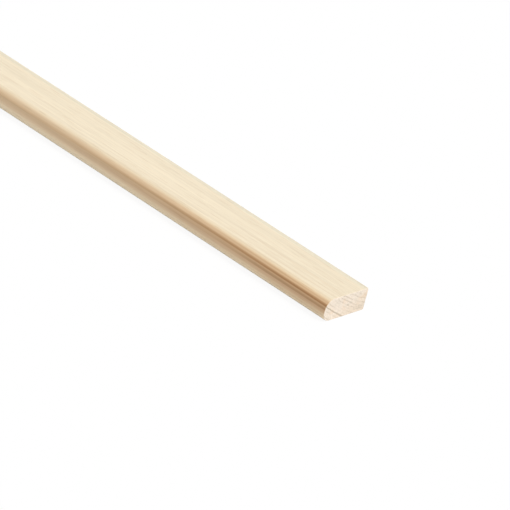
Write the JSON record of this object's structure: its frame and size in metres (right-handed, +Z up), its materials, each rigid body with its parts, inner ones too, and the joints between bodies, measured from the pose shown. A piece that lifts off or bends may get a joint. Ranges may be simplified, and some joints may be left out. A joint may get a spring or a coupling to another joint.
{
  "type": "parting bead",
  "caption": "Straight length of planed pine parting bead: a flat strip with one square edge and one bullnosed edge, used to part the sliding sashes of a window.",
  "frame": {"origin": "middle of the underside, the wide face that the bead lies on", "axes": "+X along the length, +Y across the width towards the square edge, +Z up through the thickness"},
  "size_m": [2.4, 0.02, 0.008],
  "materials": {
    "pine": "matte"
  },
  "bodies": {
    "root": {"parting_bead": "pine"}
  },
  "joints": []
}
